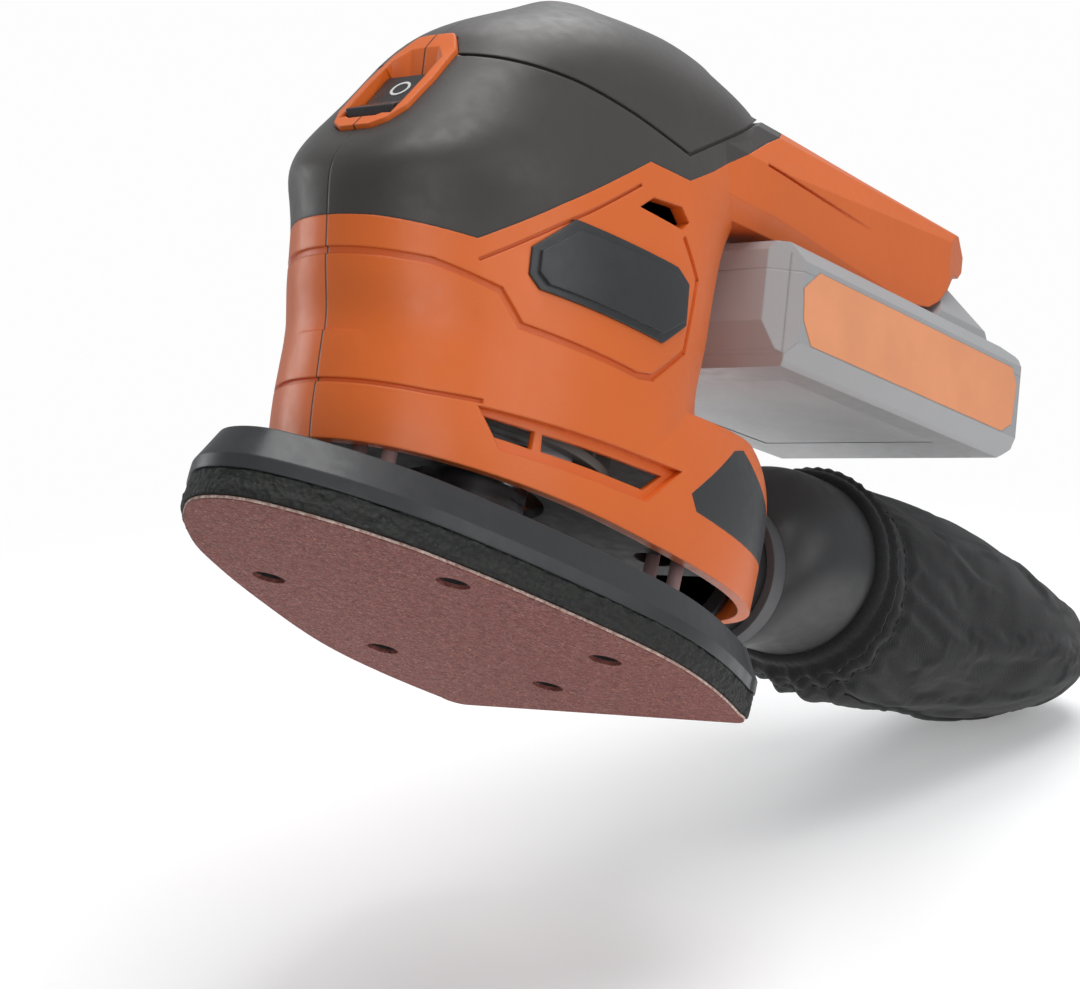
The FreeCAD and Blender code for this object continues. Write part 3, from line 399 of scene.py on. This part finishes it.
ORANGE = (0.78, 0.150, 0.018)
SLOT_MATERIAL = {
    "orange_shell": moulded("orange_shell", ORANGE, 0.36, spread=0.03, seam=True, coat=0.12, edge=0.0006),
    "dark_grip": moulded("dark_grip", (0.050, 0.044, 0.040), 0.44, spread=0.06, seam=True, edge=0.0007,
                         sheen=0.12),
    "dark_plate": moulded("dark_plate", (0.034, 0.035, 0.037), 0.33, grain=1800.0, spread=0.07, edge=0.0005,
                          wear=0.10),
    "black_plastic": moulded("black_plastic", (0.014, 0.014, 0.015), 0.5),
    "rocker_plastic": moulded("rocker_plastic", (0.030, 0.030, 0.031), 0.30, edge=0.0004),
    "white_print": printed("white_print", (0.78, 0.78, 0.76), 0.5),
    "foam": foam(),
    "hook_fabric": cloth_mat("hook_fabric", (0.03, 0.03, 0.03), 0.0009, uv=False),
    "abrasive": abrasive(),
    "leg_rubber": moulded("leg_rubber", (0.36, 0.235, 0.225), 0.55),
    "steel": metal("steel", (0.55, 0.55, 0.57), 0.32),
    "zinc": metal("zinc", (0.42, 0.42, 0.44), 0.38),
    "magnet": moulded("magnet", (0.05, 0.05, 0.055), 0.6),
    "brass": metal("brass", (0.72, 0.50, 0.22), 0.3),
    "nylon": moulded("nylon", (0.30, 0.27, 0.25), 0.5),
    "carbon": moulded("carbon", (0.02, 0.02, 0.02), 0.6),
    "board": moulded("board", (0.02, 0.10, 0.045), 0.35),
    "pale_plastic": moulded("pale_plastic", (0.40, 0.40, 0.405), 0.36, spread=0.03, wear=0.03, edge=0.0006,
                            coat=0.1),
    "pale_label": printed("pale_label", (0.90, 0.36, 0.17), 0.38),
    "pale_sticker": printed("pale_sticker", (0.52, 0.52, 0.525), 0.4),
    "cell_wrap": metal("cell_wrap", (0.18, 0.30, 0.50), 0.3),
    "adapter_plastic": moulded("adapter_plastic", (0.028, 0.028, 0.029), 0.38, grain=1500.0,
                               depth=0.00002, edge=0.0006),
    "collar_plastic": moulded("collar_plastic", (0.075, 0.075, 0.078), 0.45, edge=0.0005),
    "bag_fabric": cloth_mat("bag_fabric_flat", (0.018, 0.018, 0.019), 0.0010, uv=False),
}
BAG_CLOTH = cloth_mat("bag_twill", (0.0095, 0.0095, 0.0103), 0.00080, strength=0.35)

for part in RECORD["subparts"]:
    node = NODES.get(part["node"])
    if node is None:
        continue
    node.data.materials.clear()
    node.data.materials.append(SLOT_MATERIAL[part["material_slot"]])


# ------------------------------------------------------------------ geometry helpers
def tree_of(*names):
    """Ray-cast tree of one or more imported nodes."""
    verts = []
    faces = []
    for name in names:
        base = len(verts)
        mesh = NODES[name].data
        verts += [v.co.copy() for v in mesh.vertices]
        faces += [[base + i for i in p.vertices] for p in mesh.polygons]
    return BVHTree.FromPolygons(verts, faces)


def mesh_object(name, verts, faces, material, smooth=True, uvs=None):
    mesh = bpy.data.meshes.new(name)
    mesh.from_pydata([tuple(v) for v in verts], [], faces)
    mesh.validate()
    if uvs is not None:
        layer = mesh.uv_layers.new(name="weave")
        for loop in mesh.loops:
            layer.data[loop.index].uv = uvs[loop.vertex_index]
    for polygon in mesh.polygons:
        polygon.use_smooth = smooth
    mesh.materials.append(material)
    mesh.update()
    obj = bpy.data.objects.new(name, mesh)
    SCENE.collection.objects.link(obj)
    return obj


def grid_faces(rows, cols, closed_cols=True, start=0):
    faces = []
    for i in range(rows - 1):
        for j in range(cols if closed_cols else cols - 1):
            k = (j + 1) % cols
            a = start + i * cols + j
            b = start + i * cols + k
            faces.append((a, b, b + cols, a + cols))
    return faces


def ripple(p, scale, seed=0.0):
    return mnoise.noise(Vector((p[0] * scale + seed, p[1] * scale, p[2] * scale)))


# ------------------------------------------------------------------ floor
def make_floor():
    """Pale plane under the lowest point, clear from behind and fading out with distance."""
    up = (CAM_UP + CAM_BACK * FLOOR_TILT).normalized()
    names = ["dust_bag", "sanding_sheet", "pad_plate"]
    lowest = min(v.co.dot(up) for n in names for v in NODES[n].data.vertices)
    side = CAM_RIGHT.copy()
    depth = up.cross(side).normalized()
    middle = CENTRE - up * (CENTRE.dot(up) - lowest + FLOOR_GAP)
    steps = FLOOR_STEPS
    verts = []
    for i in range(steps + 1):
        for j in range(steps + 1):
            across = side * (i / steps - 0.5) * FLOOR_HALF * 2
            verts.append(middle + across + depth * (j / steps - 0.5) * FLOOR_HALF * 2)
    faces = []
    for i in range(steps):
        for j in range(steps):
            a = i * (steps + 1) + j
            faces.append((a, a + steps + 1, a + steps + 2, a + 1))
    m = Mat("studio_floor")
    m.color(m.mix(m.noise(6.0, 2.0), (0.90, 0.90, 0.90, 1), (0.93, 0.93, 0.93, 1)))
    m.rough(0.8)
    m.bsdf.inputs["Emission Color"].default_value = (1.0, 1.0, 1.0, 1)
    m.bsdf.inputs["Emission Strength"].default_value = FLOOR_GLOW
    clear = m.node("ShaderNodeBsdfTransparent")
    blend = m.node("ShaderNodeMixShader")
    offset = m.node("ShaderNodeVectorMath")
    offset.operation = "DISTANCE"
    m.link(m.point, offset.inputs[0])
    offset.inputs[1].default_value = middle
    fade = m.node("ShaderNodeMapRange")
    fade.interpolation_type = "SMOOTHSTEP"
    m.link(offset.outputs["Value"], fade.inputs["Value"])
    fade.inputs["From Min"].default_value = FLOOR_FADE_START
    fade.inputs["From Max"].default_value = FLOOR_FADE_END
    geometry = m.node("ShaderNodeNewGeometry")
    gone = m.math("MAXIMUM", fade.outputs[0], geometry.outputs["Backfacing"])
    m.link(gone, blend.inputs[0])
    m.link(m.bsdf.outputs[0], blend.inputs[1])
    m.link(clear.outputs[0], blend.inputs[2])
    m.link(blend.outputs[0], m.out.inputs[0])
    floor = mesh_object("floor", verts, faces, m.mat)
    if floor.data.polygons[0].normal.dot(up) < 0:
        floor.data.flip_normals()


make_floor()

# ------------------------------------------------------------------ dust bag
PULL = next(j for j in RECORD["behaviour"]["joints"] if j["name"] == "dust_pull")
AXIS = Vector(PULL["axis"]).normalized()
ACROSS = Vector((0, 1, 0))
TALL = AXIS.cross(ACROSS).normalized()
if TALL.z < 0:
    TALL = -TALL


def along_axis(names):
    points = [v.co for n in names for v in NODES[n].data.vertices]
    s = [p.dot(AXIS) for p in points]
    t = [p.dot(TALL) for p in points]
    return min(s), max(s), min(t), max(t)


def axis_point(s, t):
    return AXIS * s + TALL * t


def reach(tree, s, t, angle, far=0.2):
    """Radius of the outermost CAD surface round the outlet axis at one station and angle."""
    d = ACROSS * math.sin(angle) + TALL * math.cos(angle)
    origin = axis_point(s, t) + d * far
    hit = tree.ray_cast(origin, -d, far)
    if hit[0] is None:
        return None
    return (hit[0] - axis_point(s, t)).dot(d)


def simulate_cloth(obj, pins, pressure, swell, cap, frames=CLOTH_FRAMES):
    """Blow the cloth up a little, then keep each point within cap of where it started."""
    rest = [v.co.copy() for v in obj.data.vertices]
    group = obj.vertex_groups.new(name="pins")
    for index, weight in pins.items():
        group.add([index], weight, "REPLACE")
    mod = obj.modifiers.new("Cloth", "CLOTH")
    s = mod.settings
    s.quality = 6
    s.mass = 0.12
    s.tension_stiffness = 12
    s.compression_stiffness = 6
    s.shear_stiffness = 4
    s.bending_stiffness = 0.06
    s.air_damping = 2
    s.use_pressure = True
    s.uniform_pressure_force = pressure
    s.shrink_min = -swell
    s.effector_weights.gravity = 0
    s.vertex_group_mass = "pins"
    mod.collision_settings.use_self_collision = False
    mod.collision_settings.use_collision = False
    mod.point_cache.frame_start = 1
    mod.point_cache.frame_end = frames + 5
    for f in range(1, frames + 1):
        SCENE.frame_set(f)
    graph = bpy.context.evaluated_depsgraph_get()
    result = obj.evaluated_get(graph)
    moved = [v.co.copy() for v in result.data.vertices]
    obj.modifiers.remove(mod)
    SCENE.frame_set(1)
    for v, a, b in zip(obj.data.vertices, rest, moved):
        d = b - a
        if d.length > cap:
            d = d * (cap / d.length)
        v.co = a + d
    obj.data.update()


def make_bag():
    """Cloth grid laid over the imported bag, closed at its far end and turned in at its mouth."""
    tree = tree_of("dust_bag")
    s0, s1, t0, t1 = along_axis(["dust_bag"])
    t_mid = (t0 + t1) / 2
    length = s1 - s0
    rows, cols = BAG_ROWS, BAG_COLS
    verts, uvs = [], []
    for i in range(rows):
        f = i / (rows - 1)
        f = 1 - (1 - f) ** 1.15
        s = s0 + 0.0004 + (length - 0.0008) * f
        for j in range(cols):
            a = 2 * math.pi * j / cols
            r = reach(tree, s, t_mid, a)
            if r is None:
                r = 0.006
            d = ACROSS * math.sin(a) + TALL * math.cos(a)
            into = s - s0
            low = 0.5 - 0.5 * math.cos(a)
            gather = math.sin(BAG_GATHERS * a + 3.0 * ripple((math.cos(a), math.sin(a), 0), 2.0))
            r += 0.00022 * gather * math.exp(-into / 0.006)
            slant = a * 24 + into * 260 + 2.5 * ripple((math.cos(a), math.sin(a), into * 14), 1.6, 4.0)
            r += 0.0011 * low * low * math.sin(slant) * math.exp(-((into - 0.014) / 0.014) ** 2)
            r -= 0.0008 * math.exp(-((into - 0.0072) / 0.0024) ** 2)
            p = axis_point(s, t_mid) + d * r
            r += 0.0011 * ripple(p, 34.0, 2.0) * min(1.0, into / 0.02)
            r += 0.0005 * ripple(p, 90.0, 9.0)
            verts.append(axis_point(s, t_mid) + d * (r - BAG_SKIN))
            uvs.append((s, a * BAG_GIRTH_SCALE))
    faces = grid_faces(rows, cols)
    ring = [verts[(rows - 1) * cols + j] for j in range(cols)]
    centre = sum(ring, Vector((0, 0, 0))) / cols
    for k, (shrink, push) in enumerate(BAG_END_RINGS):
        for j in range(cols):
            verts.append(centre + (ring[j] - centre) * shrink + AXIS * push)
            uvs.append((s1 + 0.004 * (k + 1), 2 * math.pi * j / cols * BAG_GIRTH_SCALE * shrink))
    base = (rows - 1) * cols
    for k in range(2):
        for j in range(cols):
            n = (j + 1) % cols
            a = base + k * cols
            faces.append((a + j, a + n, a + n + cols, a + j + cols))
    verts.append(centre + AXIS * BAG_END_TIP)
    uvs.append((s1 + 0.012, 0.0))
    tip = len(verts) - 1
    last = base + 2 * cols
    for j in range(cols):
        faces.append((last + j, last + (j + 1) % cols, tip))
    # the mouth turns in over the adapter
    inner = len(verts)
    for back, drop in BAG_MOUTH_RINGS:
        for j in range(cols):
            p = verts[j]
            d = (p - axis_point(p.dot(AXIS), t_mid)).normalized()
            verts.append(p - d * drop - AXIS * back * 0.2)
            uvs.append((s0 - back, 2 * math.pi * j / cols * BAG_GIRTH_SCALE))
    for j in range(cols):
        n = (j + 1) % cols
        faces.append((n, j, inner + j, inner + n))
        faces.append((inner + n, inner + j, inner + cols + j, inner + cols + n))
    obj = mesh_object("bag_cloth", verts, faces, BAG_CLOTH, uvs=uvs)
    pins = {}
    for j in range(cols):
        for k in range(4):
            pins[k * cols + j] = 1.0 - 0.2 * k
        pins[inner + j] = 1.0
        pins[inner + cols + j] = 1.0
    simulate_cloth(obj, pins, CLOTH_PRESSURE, CLOTH_SWELL, CLOTH_MOVE_CAP)
    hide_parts("dust_bag")
    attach(obj, "dust")
    return obj, t_mid, s0, s1


def swept_tube(name, points, radius, material, sides=10):
    """A capped round tube whose radius is a function of the point's index."""
    verts, uvs = [], []
    count = len(points)
    run = 0.0
    for i, p in enumerate(points):
        before = points[i - 1] if i > 0 else points[i]
        after = points[i + 1] if i < count - 1 else points[i]
        t = (after - before).normalized()
        n = t.cross(Vector((0.31, 0.87, 0.38))).normalized()
        b = t.cross(n).normalized()
        run += (p - points[i - 1]).length if i else 0.0
        r = radius(i)
        for j in range(sides):
            a = 2 * math.pi * j / sides
            verts.append(p + n * math.cos(a) * r + b * math.sin(a) * r)
            uvs.append((run, j / sides * 2 * math.pi * r))
    faces = grid_faces(count, sides)
    faces.append(tuple(range(sides - 1, -1, -1)))
    faces.append(tuple((count - 1) * sides + j for j in range(sides)))
    return mesh_object(name, verts, faces, material, uvs=uvs)


def surface_tree(obj):
    verts = [v.co.copy() for v in obj.data.vertices]
    faces = [list(p.vertices) for p in obj.data.polygons]
    return BVHTree.FromPolygons(verts, faces)


def joined_stitches(name, pairs, radius, material):
    """Short rounded thread lengths, each lying on the cloth."""
    verts, faces = [], []
    sides = 6
    for a, b, normal in pairs:
        t = (b - a).normalized()
        side = t.cross(normal).normalized()
        rings = ((0.0, 0.15, -0.5), (0.2, 0.85, 0.2), (0.5, 1.0, 0.5), (0.8, 0.85, 0.2), (1.0, 0.15, -0.5))
        start = len(verts)
        for f, width, lift in rings:
            c = a.lerp(b, f) + normal * radius * lift
            for j in range(sides):
                w = 2 * math.pi * j / sides
                verts.append(c + side * math.cos(w) * radius * width + normal * math.sin(w) * radius * width)
        faces += grid_faces(len(rings), sides, start=start)
        faces.append(tuple(start + j for j in range(sides - 1, -1, -1)))
        faces.append(tuple(start + (len(rings) - 1) * sides + j for j in range(sides)))
    return mesh_object(name, verts, faces, material)


def make_hem(bag, t_mid, s0):
    """Gathered elastic hem that grips the adapter."""
    adapter = tree_of("dust_adapter")
    h0, h1, _, _ = along_axis(["bag_hem"])
    shell = surface_tree(bag)
    cols = HEM_COLS
    width = h1 - h0
    verts, uvs = [], []
    for f, lift in HEM_PROFILE:
        s = h0 + 0.0002 + width * f
        for j in range(cols):
            a = 2 * math.pi * j / cols
            d = ACROSS * math.sin(a) + TALL * math.cos(a)
            r_adapter = reach(adapter, min(s, h0 + width * 0.45), t_mid, a) or 0.022
            r_bag = reach(shell, max(s, s0 + 0.0012), t_mid, a) or r_adapter
            blend = max(0.0, min(1.0, (f - 0.35) / 0.65))
            blend = blend * blend * (3 - 2 * blend)
            r = r_adapter * (1 - blend) + r_bag * blend
            gather = math.sin(64 * a + 4.0 * ripple((math.cos(a), math.sin(a), 0), 3.0))
            gather += 0.5 * math.sin(31 * a + 5.0 * ripple((math.sin(a), math.cos(a), 0), 2.0, 3.0))
            bell = math.exp(-((f - 0.62) / 0.42) ** 2)
            r += lift + HEM_GATHER * gather * bell
            shift = 0.0004 * ripple((math.cos(a), math.sin(a), 0.5), 3.5, 7.0)
            verts.append(axis_point(s + shift, t_mid) + d * r)
            uvs.append((s, a * 0.026))
    faces = grid_faces(len(HEM_PROFILE), cols)
    hem = mesh_object("bag_hem_cloth", verts, faces, BAG_CLOTH, uvs=uvs)
    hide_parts("bag_hem")
    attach(hem, "dust")
    return hem


def bag_point(shell, s, t_mid, a, lift):
    d = ACROSS * math.sin(a) + TALL * math.cos(a)
    r = reach(shell, s, t_mid, a)
    if r is None:
        return None, d
    return axis_point(s, t_mid) + d * (r + lift), d


def make_bag_trim(bag, t_mid, s0, s1):
    shell = surface_tree(bag)
    thread = SLOT_MATERIAL["black_plastic"]
    # stitched seam just behind the hem
    pairs = []
    count = SEAM_STITCHES
    for k in range(count):
        a0 = 2 * math.pi * (k + 0.12) / count
        a1 = 2 * math.pi * (k + 0.80) / count
        s = s0 + SEAM_BACK
        p, d = bag_point(shell, s, t_mid, a0, 0.00005)
        q, _ = bag_point(shell, s, t_mid, a1, 0.00005)
        if p is not None and q is not None:
            pairs.append((p, q, d))
    stitches = joined_stitches("bag_stitches", pairs, THREAD_RADIUS, thread)
    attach(stitches, "dust")
    # piping down the underside seam, stopping just short of the far end
    points = []
    low = math.pi * 1.08
    for k in range(PIPING_POINTS):
        f = k / (PIPING_POINTS - 1)
        s = s0 + 0.016 + (s1 - s0 - 0.0185) * f
        a = low - 0.20 * math.sin(f * 2.4) + 0.05 * math.sin(f * 9)
        p, d = bag_point(shell, s, t_mid, a, 0.0)
        if p is not None:
            points.append(p + d * 0.0002)
    piping = swept_tube("bag_piping", points, lambda i: PIPING_RADIUS * min(1.0, 0.25 + i / 10.0), BAG_CLOTH)
    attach(piping, "dust")


bag, bag_mid, bag_s0, bag_s1 = make_bag()
make_hem(bag, bag_mid, bag_s0)
make_bag_trim(bag, bag_mid, bag_s0, bag_s1)


# ------------------------------------------------------------------ pad edge: cut foam and frayed paper
def outline(name, z, count):
    tree = tree_of(name)
    points = []
    for k in range(count):
        a = 2 * math.pi * k / count
        d = Vector((math.cos(a), math.sin(a), 0))
        hit = tree.ray_cast(Vector((OUTLINE_CENTRE[0], OUTLINE_CENTRE[1], z)) + d * 0.2, -d, 0.2)
        if hit[0] is not None:
            points.append((hit[0].copy(), d))
    return points


def even_outline(name, z, spacing):
    """Points at even steps round a node's outline at one height."""
    raw = [p for p, _ in outline(name, z, OUTLINE_RAYS)]
    total = sum((raw[i] - raw[i - 1]).length for i in range(len(raw)))
    count = int(total / spacing)
    step = total / count
    points = []
    need = 0.0
    run = 0.0
    n = len(raw)
    for i in range(n):
        a = raw[i]
        b = raw[(i + 1) % n]
        seg = (b - a).length
        while need <= run + seg and len(points) < count:
            f = (need - run) / seg if seg > 0 else 0
            points.append(a.lerp(b, f))
            need += step
        run += seg
    return points


def outward(points, i):
    t = (points[(i + 1) % len(points)] - points[i - 1]).normalized()
    return Vector((t.y, -t.x, 0))


def make_foam_edge():
    """Uneven knife-cut ring over the foam and hook layer."""
    lo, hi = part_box("foam_pad")
    z0, z1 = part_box("sanding_sheet")[1].z, hi.z
    points = even_outline("foam_pad", (lo.z + hi.z) / 2, FOAM_EDGE_STEP)
    rows = FOAM_EDGE_ROWS
    verts = []
    for i, p in enumerate(points):
        n = outward(points, i)
        for k in range(rows):
            f = k / (rows - 1)
            z = z0 + (z1 - z0) * f
            bulge = 0.00012
            rough = 0.00035 * ripple((p.x, p.y, z * 1.6), 420.0)
            rough += 0.00022 * ripple((p.x, p.y, z), 1150.0, 3.0)
            rough += 0.00030 * ripple((p.x, p.y, z * 4), 120.0, 8.0)
            edge = -0.0002 if k in (0, rows - 1) else 0.0
            q = p + n * (bulge + rough + edge + 0.00012)
            verts.append(Vector((q.x, q.y, z)))
    inner = len(verts)
    for i, p in enumerate(points):
        n = outward(points, i)
        verts.append(Vector((p.x - n.x * FOAM_EDGE_DEPTH, p.y - n.y * FOAM_EDGE_DEPTH, z0 + 0.0002)))
        verts.append(Vector((p.x - n.x * FOAM_EDGE_DEPTH, p.y - n.y * FOAM_EDGE_DEPTH, z1 - 0.0002)))
    faces = []
    m = len(points)
    for i in range(m):
        j = (i + 1) % m
        for k in range(rows - 1):
            faces.append((i * rows + k, i * rows + k + 1, j * rows + k + 1, j * rows + k))
        faces.append((i * rows, j * rows, inner + 2 * j, inner + 2 * i))
        faces.append((i * rows + rows - 1, inner + 2 * i + 1, inner + 2 * j + 1, j * rows + rows - 1))
        faces.append((inner + 2 * i, inner + 2 * j, inner + 2 * j + 1, inner + 2 * i + 1))
    ring = mesh_object("foam_cut_edge", verts, faces, SLOT_MATERIAL["foam"])
    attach(ring, "pad")


def frayed_paper():
    m = Mat("paper_fray")
    speck = m.noise(900.0, 3.0, 0.7)
    m.color(m.mix(m.remap(speck, 0.35, 0.65, 0.0, 1.0), (0.34, 0.19, 0.15, 1), (0.74, 0.62, 0.54, 1)))
    m.rough(m.remap(speck, 0.3, 0.7, 0.7, 0.95))
    m.bump(speck, 0.6, 0.0001)
    return m.mat


def make_paper_edge():
    """Ragged rim of the sheet."""
    lo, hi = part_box("sanding_sheet")
    points = even_outline("sanding_sheet", (lo.z + hi.z) / 2, PAPER_EDGE_STEP)
    verts, faces = [], []
    m = len(points)
    rows = len(PAPER_EDGE_HEIGHTS)
    for i, p in enumerate(points):
        n = outward(points, i)
        jag = 0.00016 * abs(ripple((p.x, p.y, 0), 900.0, 5.0)) + 0.00010 * RNG.random()
        jag += 0.00012 * max(0.0, ripple((p.x, p.y, 0), 260.0, 1.0))
        outs = (-0.0004, 0.00004 + jag * 0.6, 0.00006 + jag, 0.00005 + jag * 0.5, -0.0004)
        for h, o in zip(PAPER_EDGE_HEIGHTS, outs):
            verts.append(Vector((p.x + n.x * o, p.y + n.y * o, lo.z + (hi.z - lo.z) * h)))
    for i in range(m):
        j = (i + 1) % m
        for k in range(rows):
            l = (k + 1) % rows
            faces.append((i * rows + k, i * rows + l, j * rows + l, j * rows + k))
    ring = mesh_object("paper_frayed_edge", verts, faces, frayed_paper(), smooth=False)
    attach(ring, "pad")


make_foam_edge()
make_paper_edge()
